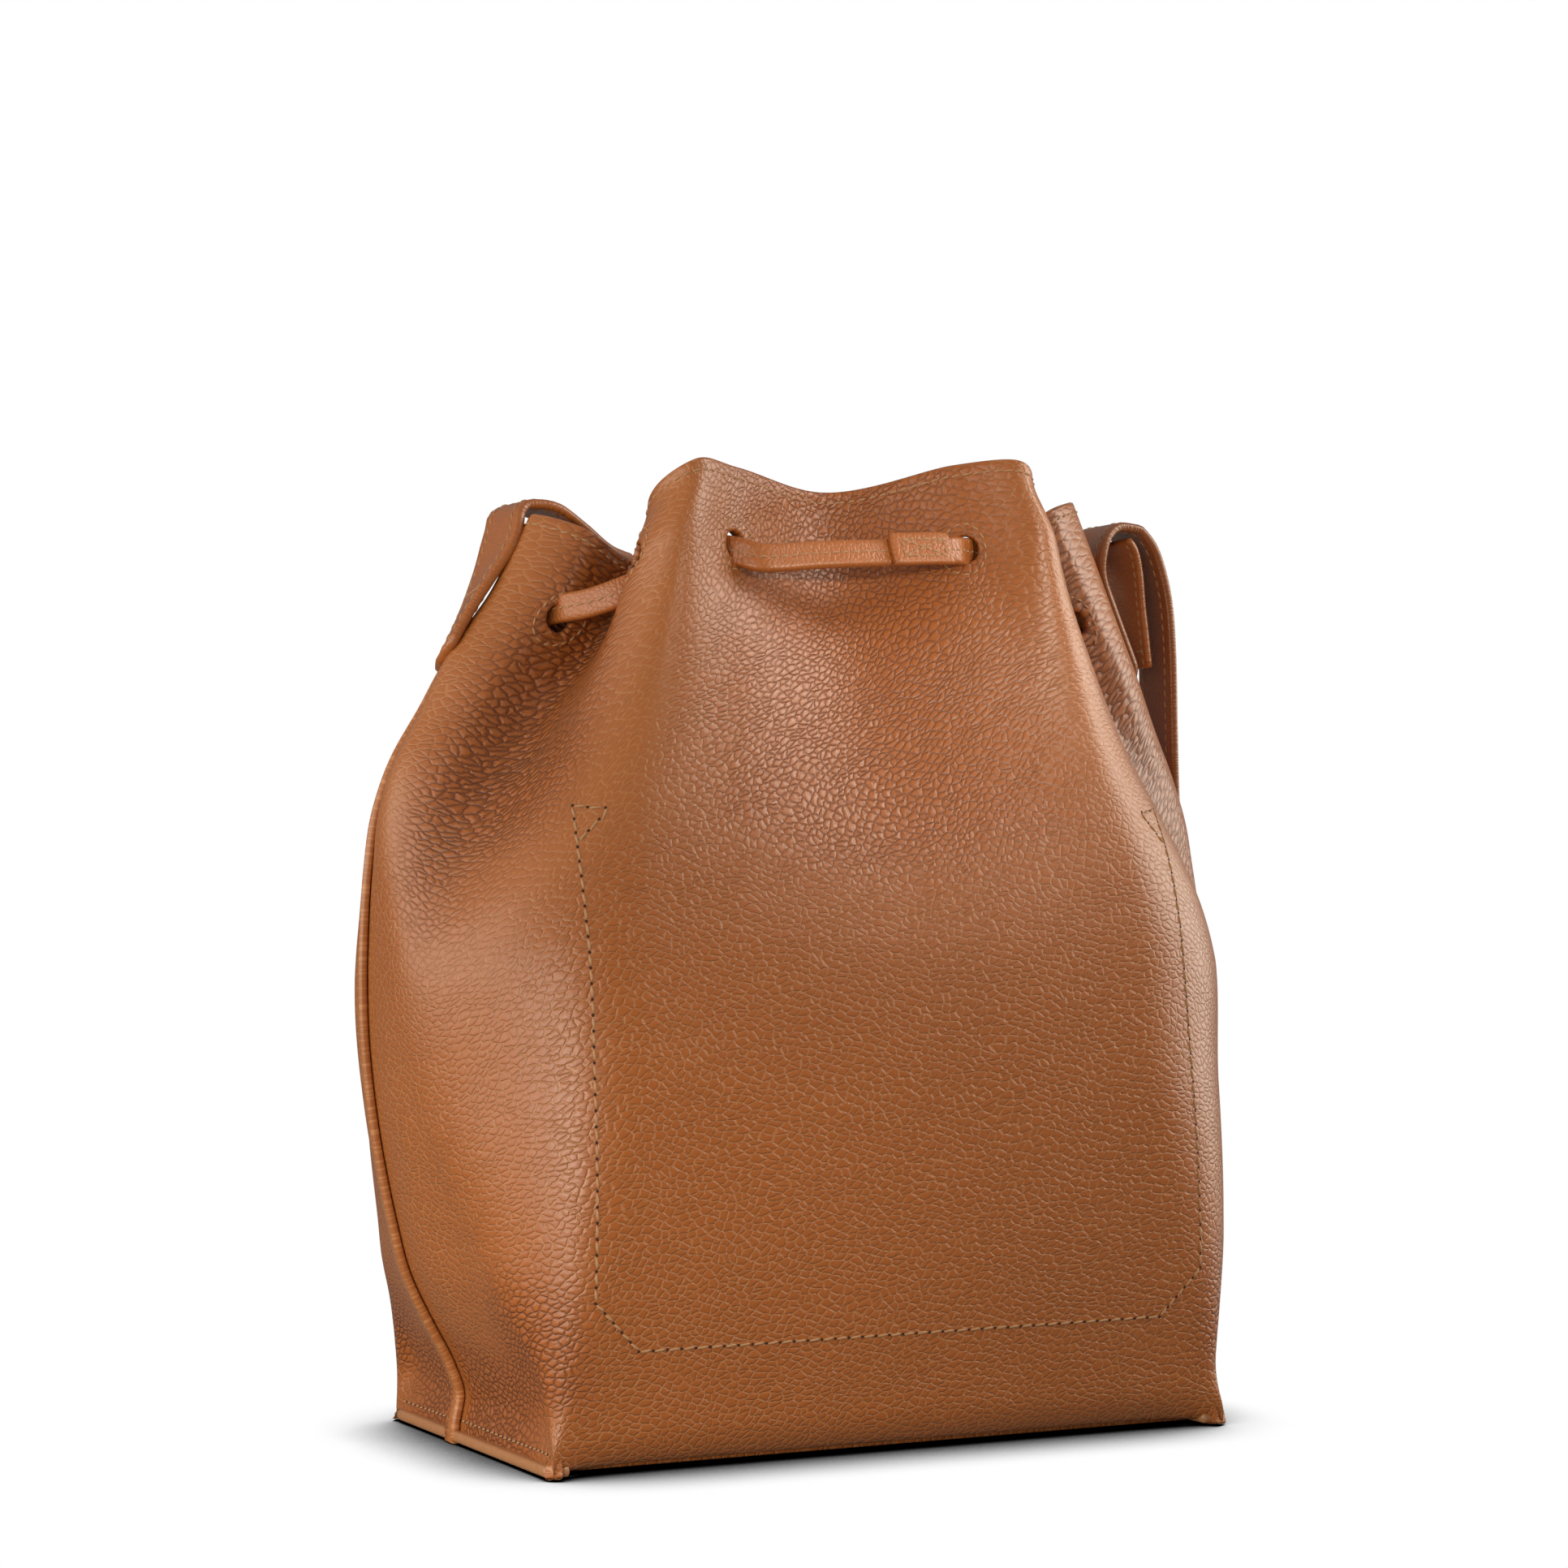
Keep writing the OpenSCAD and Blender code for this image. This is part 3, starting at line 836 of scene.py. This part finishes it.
# Where the closed loop passes the front middle
FRONT_MIDDLE = (38.2, 251 - FRONT_DROP)

STRING_WAY = [[0, -37, 248.6], [-20, -36.6, 248.6], [-33, -33.4, 248.8], [-41, -30.5, 248.6],
              [-53, -30, 245.5], [-62, -28.2, 240], [-70, -24.5, 234], [-77, -18.5, 229],
              [-83.5, -11.5, 225.5], [-88, -5, 223.5], [-89.5, 0, 223]]


def string_front(sx):
    """The string's front from beside the middle to the side ridge: the rear's mirror image, lowered."""
    rows = []
    for i in range(1, 10):
        x, y, z = STRING_WAY[i]
        rows.append([x * sx, -y, z - FRONT_DROP * float(ease((9.5 - i) / 6))])
    return rows


REAR_WAY = [[-87, -4, 228], [-83.5, -8.5, 230.4], [-80.6, -15.5, 231.2], [-77, -20.5, 232],
            [-71, -25.8, 234.4], [-62, -28.8, 238.5], [-52, -29.5, 244.0], [-42, -29.0, 247.6],
            [-36.8, -33.4, 246.8], [-32.5, -37.2, 245.2], [-26, -38, 245.4], [-16.7, -38, 246.4],
            [-4, -38, 247.4], [5, -37.6, 248.0], [13, -37.4, 248.6], [20, -37.2, 249.2],
            [26, -37, 249.6], [31.5, -35.6, 250.0], [35.6, -32, 250.2], [42, -28.5, 250.2],
            [54, -28.6, 246.5], [63, -27.5, 241.5], [72, -23, 236], [81, -15, 231], [88, -7, 227]]
string_way = (
    [[-0.05, *FRONT_MIDDLE]] + string_front(1) + [[-89.5, 0, 224.5]]
    + REAR_WAY + [[89.5, 0, 226]]
    + string_front(-1)[::-1] + [[0.05, *FRONT_MIDDLE]]
)
way = np.array(string_way, float)
heading = np.gradient(way, axis=0)
tilt = 0.38 * bump_at(way[:, 0], 0, 34) * (way[:, 1] < -34)
string_looks = unit(np.stack([heading[:, 1], -heading[:, 0], tilt * np.linalg.norm(heading, axis=1)], axis=1))
string, s_line, _, s_up = ribbon("drawstring_leather", way, string_looks, STRING_HALF, STRING_T,
                                 STRING_MATS, "bag", step=1.2, cols=7)
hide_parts("drawstring")
stitches("drawstring_stitches", [(s_line + s_up * STRING_T / 2, s_up)], 3.2)

# The lap where the drawstring's two ends are sewn together, with its box of stitches
LAP_T = 2.2
lap = [i for i in range(len(s_line)) if s_line[i, 1] < 0 and 7.8 < s_line[i, 0] < 27.2]
lap_line = s_line[lap] + s_up[lap] * 2.5
if lap_line[0, 0] > lap_line[-1, 0]:
    lap_line = lap_line[::-1]
lap_way = lap_line[::3]
_, l_line, l_side, l_up = ribbon("drawstring_lap", lap_way, [[0.05, -1, 0.38]] * len(lap_way), 5.0, LAP_T,
                                 STRING_MATS, "bag", step=1.0, cols=7)


def on_lap(a, b):
    """A point on the lap, a share a along it and b across it."""
    i = a * (len(l_line) - 1)
    at = np.array([np.interp(i, np.arange(len(l_line)), l_line[:, k]) for k in range(3)])
    return at + l_side[0] * b * 4.7 + l_up[0] * LAP_T / 2


def lap_run(corners):
    pts = even(np.array([on_lap(a, b) for a, b in corners]), 0.4)
    return pts, np.repeat([l_up[0]], len(pts), axis=0)


LAP_BOX = [(0.16, -0.55), (0.9, -0.55), (0.9, 0.55), (0.16, 0.55)]
stitches("lap_stitches", [
    lap_run(LAP_BOX + LAP_BOX[:1]), lap_run(LAP_BOX[::2]), lap_run(LAP_BOX[:0:-2])], 2.3, radius=0.42)
# ---- strap

STRAP_HALF = 9.5
STRAP_T = 2.8
# From the left sewn end over the front rim, down the front, round the right corner and up to the right end
STRAP_WAY = [[-77, 13, 261], [-68.5, 15.5, 257.4], [-61, 20, 254], [-54, 28, 251.5], [-47, 39, 249.5],
             [-42, 49, 244.5], [-40, 56, 228], [-39.5, 61, 200], [-38, 67, 160], [-34, 71.5, 120],
             [-27, 75, 82], [-10, 79, 46], [20, 82, 26], [56, 81, 22], [90, 73, 32], [118, 56, 56],
             [133, 36, 95], [136, 24, 135], [134, 17, 165], [132, 14, 190], [131, 13, 207],
             [130, 12, 226], [128.5, 12, 243], [124.5, 12, 256.5], [119.5, 12, 263]]
STRAP_LOOKS = [[0.1, 0, 1], [0.3, -0.1, 0.95], [0.35, -0.15, 0.9], [0.2, 0, 1], [0.1, 0.4, 0.9],
               [0, 0.8, 0.6], [0, 1, 0.15], [0, 1, 0], [0, 1, 0], [0, 1, 0], [0.05, 1, 0], [0.1, 1, 0],
               [0.1, 1, 0], [0.2, 0.98, 0], [0.4, 0.9, 0], [0.7, 0.7, 0], [0.88, 0.45, 0],
               [0.96, 0.25, 0], [1, 0.1, 0], [1, 0, 0], [1, 0, 0], [1, 0, 0], [1, 0, 0.15],
               [0.85, 0, 0.5], [0.6, 0, 0.8]]
LEFT_WAY = [[-110.3, 6, 216], [-103.0, 7, 229], [-97.1, 7.5, 240], [-92.2, 8, 250],
            [-89.6, 10.5, 256.8], [-87, 12, 260.6], [-82.6, 12.5, 261.7]]
LEFT_LOOKS = [[-1, 0.34, 0.6], [-1, 0.28, 0.6], [-1, 0.10, 0.6], [-1, -0.12, 0.5], [-0.85, 0, 0.6],
              [-0.4, 0, 0.9], [0, 0, 1]]
RIGHT_WAY = [[112, 4, 215], [106, 5, 229], [103, 6, 241], [104, 8, 252], [105.5, 10, 259],
             [109.5, 11.5, 263.8], [116.5, 12, 264]]
RIGHT_LOOKS = [[1, 0, 0.3], [1, 0, 0.3], [1, 0, 0], [1, 0, -0.05], [1, 0, -0.3], [0.3, 0, -0.95], [0, 0, -1]]
# The parts of the strap's way that belong to the left end, the free loop and the right end, taken backwards
LEFT_PART = slice(0, 6)
LOOP_PART = slice(5, 19)
RIGHT_PART = slice(None, 17, -1)
# Length of the rounded tip of a sewn end, and how far up a sewn end takes to leave the ear
TIP_L = 6.5
LEAVING_H = 18


def sewn_strap(name, way, looks, ridge_t, toward, mats, leaves_at):
    """A strap end that lies on the ear beside the ridge up to the height leaves_at and is then free."""
    cols = 15
    line, side, up, run = strip_frame(way, looks, 1.5)
    full = STRAP_HALF - EDGE_ROUND * STRAP_T
    half = np.where(run > TIP_L, full, full * np.sqrt(np.clip(1 - (1 - run / TIP_L) ** 2, 0.12, 1)))
    across = np.linspace(-1, 1, cols)
    aside = side[:, None, :] * across[None, :, None] * half[:, None, None]
    free = line[:, None, :] + aside + up[:, None, :] * STRAP_T / 2
    heights = np.linspace(150, NOMINAL_H, 400)
    hs = np.interp(line[:, 2], plain_shell(np.full(400, ridge_t), heights)[:, 2], heights)
    ridge = np.full(len(hs), ridge_t)
    reach = np.linalg.norm(shell(ridge + toward, hs) - shell(ridge, hs), axis=1)
    middle = ridge_t + toward * (STRAP_HALF + 2.0) / reach
    ts = (middle[:, None] + across[None, :] * (half / reach)[:, None]).ravel()
    hh = np.repeat(hs, cols)
    laid_n = out_of(shell, ts, hh).reshape(free.shape)
    laid = shell(ts, hh).reshape(free.shape) + laid_n * (WALL + 0.5 + STRAP_T)
    part = np.maximum.accumulate(ease((line[:, 2] - leaves_at) / LEAVING_H))[:, None, None]
    points = laid * (1 - part) + free * part
    normals = unit(laid_n * (1 - part) + up[:, None, :] * part)
    return strip_mesh(name, points, normals, across * 9, run, STRAP_T, mats), points, normals


def edge_rows(grid, normals):
    """Stitch lines beside both long edges of a strap grid, joined across it near its tip and further on."""
    first, second = 3, 15
    inner = slice(2, grid.shape[1] - 2)
    lines = []
    for face, lift in ((1, 0), (-1, -STRAP_T)):
        for j in (inner.start, inner.stop - 1):
            lines.append((grid[first:, j] + normals[first:, j] * lift, normals[first:, j] * face))
    for row in (first, second):
        lines.append((grid[row, inner], normals[row, inner]))
    return lines


# Outer face, edge, inner face: the lighter copy is a painted highlight and the darker copy is painted shade
hair_out = (STRAP_OUT_PAINTED_LIGHT, EDGE, STRAP_IN_PAINTED_SHADE)
hair_in = (STRAP_IN_PAINTED_SHADE, EDGE, STRAP_OUT_PAINTED_LIGHT)
turned_looks = [[-a for a in look] for look in STRAP_LOOKS]
left_end, grid, normals = sewn_strap("strap_left_end", LEFT_WAY + STRAP_WAY[LEFT_PART],
                                     LEFT_LOOKS + STRAP_LOOKS[LEFT_PART], 6.0, 1.0, hair_out, 203)
left_stitch = stitches("strap_left_stitches", edge_rows(grid, normals), 3.4, body=None)
right_end, grid, normals = sewn_strap("strap_right_end", RIGHT_WAY + STRAP_WAY[RIGHT_PART],
                                      RIGHT_LOOKS + turned_looks[RIGHT_PART], 18.0, -1.0, hair_in, 242)
right_stitch = stitches("strap_right_stitches", edge_rows(grid, normals), 3.4, body=None)
for obj in (left_end, left_stitch):
    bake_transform(obj)
for obj in (right_end, right_stitch):
    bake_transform(obj)
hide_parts("strap_end_left")
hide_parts("strap_end_right")
# The sewn layer turned back inside the right-hand loop
TURN_HALF = 9.5
TURN_T = 2.2
TURN_SEAM = 7.4
turned_way = [[112.5, 12, 259.5], [115.2, 12.5, 256.5], [117, 13, 250], [118.2, 13.5, 240],
              [119.4, 13.5, 230], [120.4, 13.5, 221.5]]
turned, line, side, up = ribbon("strap_right_turn", turned_way, [[-1, -0.25, 0.1]] * len(turned_way),
                                TURN_HALF, TURN_T, hair_out, "bag", cols=11)
cross_row = line[-4] + np.outer(np.linspace(-TURN_SEAM, TURN_SEAM, 40), side[-4]) + up[-4] * TURN_T / 2
turn_rows = strip_rows(line, side, up, TURN_SEAM, TURN_T / 2) + [(cross_row, np.repeat([up[-4]], 40, axis=0))]
stitches("strap_right_turn_stitches", turn_rows, 3.0, radius=0.36)
strap, line, side, up = ribbon("strap_loop", STRAP_WAY[LOOP_PART], STRAP_LOOKS[LOOP_PART], STRAP_HALF,
                               STRAP_T, hair_out, "strap", cols=13)
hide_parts("strap")
loop_rows = []
for face in (1, -1):
    loop_rows += strip_rows(line, side, up, STRAP_HALF - 2.0, STRAP_T / 2, face)
stitches("strap_loop_stitches", loop_rows, 3.4, body="strap")

# ---- pocket, patches and base


def laid_sheet(name, t_from, t_to, h_from, h_to, inset, thick, mats):
    """A sheet lying parallel to the shell, inset millimetres inside it."""
    step = 2.5
    nt = int((t_to - t_from) * 26 / step) + 2
    nh = int((h_to - h_from) / step) + 2
    t, h = np.meshgrid(np.linspace(t_from, t_to, nt), np.linspace(h_from, h_to, nh), indexing="ij")
    t, h = t.ravel(), h.ravel()
    n = out_of(shell, t, h)
    values = {"grain": grain_of(t, h)}
    p, f, kinds, values = thicken(shell(t, h) - n * inset, grid_quads(nt, nh), n, thick, values)
    obj = make_object(name, p, f, kinds, values)
    dress(obj, *mats)
    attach(obj, "bag")
    return obj


pocket = laid_sheet("pocket_lining", -2.45, 2.45, 0.12 * NOMINAL_H, 0.66 * NOMINAL_H, WALL + 0.5, 1.4,
                    (LINING, EDGE, LINING))
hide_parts("inner_pocket")

# A flat ring behind each hole: three circles at two depths, joined in the order of its cross-section
PATCH_RADII = (HOLE_R, 7.2, 9.6)
PATCH_DEPTHS = (WALL + 0.3, WALL + 1.5)
SECTION = ((0, 2), (2, 4), (4, 5), (5, 3), (3, 1), (1, 0))
rings_p, rings_f = [], []
for hole_t, hole_h in HOLES:
    base = sum(len(ring) for ring in rings_p)
    for radius in PATCH_RADII:
        ring, n = hole_ring(float(hole_t), hole_h, radius)
        for depth in PATCH_DEPTHS:
            rings_p.append(ring[:-1:2] - n[:-1:2] * depth)
    count = len(rings_p[0])
    for i in range(count):
        j = (i + 1) % count
        for a, b in SECTION:
            from_a, from_b = base + a * count, base + b * count
            rings_f.append([from_a + i, from_a + j, from_b + j, from_b + i])
patches = make_object("hole_backing", np.vstack(rings_p), rings_f)
dress(patches, LINING)
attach(patches, "bag")
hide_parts("hole_patches")

# The base is one more sheet of the same leather.
BASE_X = 99
BASE_Y = 51
BASE_Z = 0.15
nx, ny = 60, 34
bx, by = np.meshgrid(np.linspace(-BASE_X, BASE_X, nx), np.linspace(-BASE_Y, BASE_Y, ny), indexing="ij")
bx, by = bx.ravel(), by.ravel()
none = np.zeros(len(bx))
values = {"grain": np.stack([bx, by, none], axis=1), "gather": none + 0.2, "stretch": none}
down = np.repeat([[0.0, 0.0, -1.0]], len(bx), axis=0)
base_p = np.stack([bx, by, none + BASE_Z], axis=1)
p, f, kinds, values = thicken(base_p, grid_quads(nx, ny), down, WALL, values)
base = make_object("base_leather", p, f, kinds, values)
dress(base, LEATHER, EDGE, SUEDE)
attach(base, "bag")
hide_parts("base_panel")

for sign, side_name in ((-1, "left"), (1, "right")):
    flange_way = [[sign * 101.6, y, 1.6] for y in (-58.5, -40, -10, 20, 52)]
    flange, _, _, _ = ribbon("base_flange_" + side_name, flange_way, [[0, 0, 1]] * len(flange_way), 3.6, 3.0,
                             (EDGE, EDGE, EDGE), "bag", cols=7)
    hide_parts("base_seam_" + side_name)

# ---- pull and keeper
PULL_TOP = np.array([0, 39.5, 224.0])
PULL_WAY = unit(np.array([0, 0.29, -1.0]))
PULL_SIDE = np.array([0, -PULL_WAY[2], PULL_WAY[1]])
PULL_L = 104.0
PULL_T = 2.8
# Half the space between the doubled pull's two layers, and where the fold at its end begins
GAP = 2.0
FOLD_AT = PULL_L - 5
pull_way, pull_looks = [], []
for along in (0.5, 30, 60, PULL_L - 8, FOLD_AT):
    pull_way.append(PULL_TOP + PULL_WAY * along + PULL_SIDE * GAP)
    pull_looks.append(PULL_SIDE)
for turn in (-60, -30, 0, 30, 60):
    f = math.radians(turn)
    pull_way.append(PULL_TOP + PULL_WAY * (FOLD_AT + GAP * 1.6 * math.cos(f)) - PULL_SIDE * GAP * math.sin(f))
    pull_looks.append(PULL_WAY * math.cos(f) - PULL_SIDE * math.sin(f))
for along in (FOLD_AT, PULL_L - 8, 60, 30, 0.5):
    pull_way.append(PULL_TOP + PULL_WAY * along - PULL_SIDE * GAP)
    pull_looks.append(-PULL_SIDE)
pull, line, _, up = ribbon("pull_leather", pull_way, pull_looks, STRING_HALF, PULL_T, STRING_MATS, "pull",
                           cols=7)
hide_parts("drawstring_pull")
stitches("pull_stitches", [(line + up * PULL_T / 2, up)], 3.2, body="pull")

KEEPER_AT = 16
KEEPER_HALF = 5.5
KEEPER_T = 1.9
# The sleeve's half-sizes across the pull and through it
KEEPER_X = 5.9
KEEPER_Y = 5.2
centre = PULL_TOP + PULL_WAY * KEEPER_AT
across_x = np.array([1.0, 0, 0])
keeper_way, keeper_looks = [], []
for k in range(25):
    a = 2 * math.pi * k / 24 + math.pi / 2
    c, q = math.cos(a), math.sin(a)
    squared = (abs(c) ** 4 + abs(q) ** 4) ** -0.25
    keeper_way.append(centre + across_x * KEEPER_X * c * squared + PULL_SIDE * KEEPER_Y * q * squared)
    keeper_looks.append(across_x * c + PULL_SIDE * q)
keeper, line, side, up = ribbon("keeper_leather", keeper_way, keeper_looks, KEEPER_HALF, KEEPER_T,
                                (STRING_OUT_PAINTED_LIGHT, EDGE, SUEDE), "keeper", cols=9)
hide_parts("keeper")
keeper_rows = strip_rows(line, side, up, 3.9, KEEPER_T / 2)
stitches("keeper_stitches", keeper_rows, 2.6, radius=0.3, body="keeper")

# ---- floor, light and camera

# The dome's strength at the sides and overhead
DOME_LOW = 0.09
DOME_HIGH = 0.42
# The floor's reach and height in millimetres
FLOOR_R = 9e3
FLOOR_Z = -0.6
corners = [(x * FLOOR_R, y * FLOOR_R, FLOOR_Z) for x, y in ((-1, -1), (1, -1), (1, 1), (-1, 1))]
floor = make_object("floor", corners, [[0, 1, 2, 3]])


def by_camera(tree, plain, seen, out):
    """Shows one shader to the camera and another to everything else."""
    choose = add_node(tree, "MixShader", {1: plain.outputs[0], 2: seen.outputs[0]})
    feed(tree, choose, {"Fac": add_node(tree, "LightPath").outputs["Is Camera Ray"]})
    feed(tree, out, {"Surface": choose.outputs[0]})


# The camera sees a white floor with a shadow only where something stands close over it.
# The bag is lit by a grey one.
floor_mat, tree, bsdf, out = node_tree("floor_white")
pale = add_node(tree, "Mix", data_type="RGBA")
feed(tree, pale, {"Factor": add_node(tree, "LightPath").outputs["Is Camera Ray"],
                  "A": (0.30, 0.29, 0.28, 1), "B": (1, 1, 1, 1)})
feed(tree, bsdf, {"Base Color": pale.outputs["Result"], "Roughness": 0.7, "Specular IOR Level": 0.0})
close = add_node(tree, "AmbientOcclusion", {"Distance": 0.042}, samples=16)
shade = add_node(tree, "MapRange", interpolation_type="SMOOTHSTEP")
feed(tree, shade, {"Value": close.outputs["AO"], "From Min": 0.33, "From Max": 0.90})
by_camera(tree, bsdf, add_node(tree, "Emission", {"Color": shade.outputs["Result"]}), out)
dress(floor, floor_mat)

# A soft dome, brighter overhead than at the sides; the backdrop itself is plain white.
world = bpy.data.worlds.new("studio")
bpy.context.scene.world = world
world.use_nodes = True
tree = world.node_tree
tree.nodes.clear()
high = add_node(tree, "SeparateXYZ", {0: add_node(tree, "TexCoord").outputs["Generated"]}).outputs["Z"]
ramp = add_node(tree, "MapRange")
feed(tree, ramp, {"Value": high, "From Min": -0.1, "From Max": 0.9, "To Min": DOME_LOW, "To Max": DOME_HIGH})
dome = add_node(tree, "Background", {"Strength": ramp.outputs["Result"]})
white = add_node(tree, "Background", {"Color": (1, 1, 1, 1)})
by_camera(tree, dome, white, add_node(tree, "OutputWorld"))
bpy.context.scene.view_settings.view_transform = "Standard"

WARM = (1, 0.93, 0.80)
POOL_AWAY = 1.3


def place_lamp(data, place, aim, power):
    data.energy = power
    data.color = WARM
    lamp = bpy.data.objects.new(data.name, data)
    bpy.context.scene.collection.objects.link(lamp)
    lamp.location = place
    lamp.rotation_mode = "QUATERNION"
    lamp.rotation_quaternion = (Vector(aim) - Vector(place)).to_track_quat("-Z", "Y")


def softbox(name, place, aim, wide, high, power):
    data = bpy.data.lights.new(name, "AREA")
    data.shape = "RECTANGLE"
    data.size = wide
    data.size_y = high
    place_lamp(data, place, aim, power)


def pool(name, aim, az, el, spread, power):
    """A soft round pool of light on one part of the bag, from a compass and a height angle in degrees."""
    data = bpy.data.lights.new(name, "SPOT")
    data.spot_size = math.radians(spread)
    data.spot_blend = 1.0
    data.shadow_soft_size = 0.035
    az, el = math.radians(az), math.radians(el)
    way = Vector((math.sin(az) * math.cos(el), -math.cos(az) * math.cos(el), math.sin(el)))
    place_lamp(data, Vector(aim) + POOL_AWAY * way, aim, power)


# A large softbox on the left and smaller ones in front and on the right, so that the rear face stays dark
softbox("left", (-1.25, 0.0, 0.40), (0, 0, 0.12), 1.4, 0.75, 9.6)
softbox("front_left", (-1.02, -0.94, 0.22), (0, 0, 0.08), 0.8, 0.45, 5.6)
softbox("right", (1.14, -0.42, 0.60), (0, 0, 0.20), 0.5, 0.6, 5.5)
softbox("right_edge", (1.15, 0.05, 0.30), (0, 0, 0.12), 0.6, 0.5, 3)
# A small key light for the rim's shadows, and pools for the highlights under the string and above the corner
softbox("key", (0.925, -0.62, 0.93), (0.01, -0.02, 0.22), 0.32, 0.32, 4.5)
pool("middle_pool", (0.011, -0.022, 0.222), 16, 8, 8, 30)
pool("corner_pool", (-0.080, -0.055, 0.045), -35, 10, 10, 16)

# The photo's viewpoint: 1 m from the middle of the base, turned and tilted as solved from the photo
TURN = math.radians(26.90)
RAISE = math.radians(2.99)
data = bpy.data.cameras.new("photo_camera")
camera = bpy.data.objects.new("photo_camera", data)
bpy.context.scene.collection.objects.link(camera)
camera.location = (-math.sin(TURN), -math.cos(TURN), 0.154)
camera.rotation_euler = (math.pi / 2 + RAISE, 0, -TURN)
data.sensor_width = 36
data.lens = 78.78
data.shift_x = -0.0124
data.shift_y = -0.0497
data.clip_start = 0.05
bpy.context.scene.camera = camera
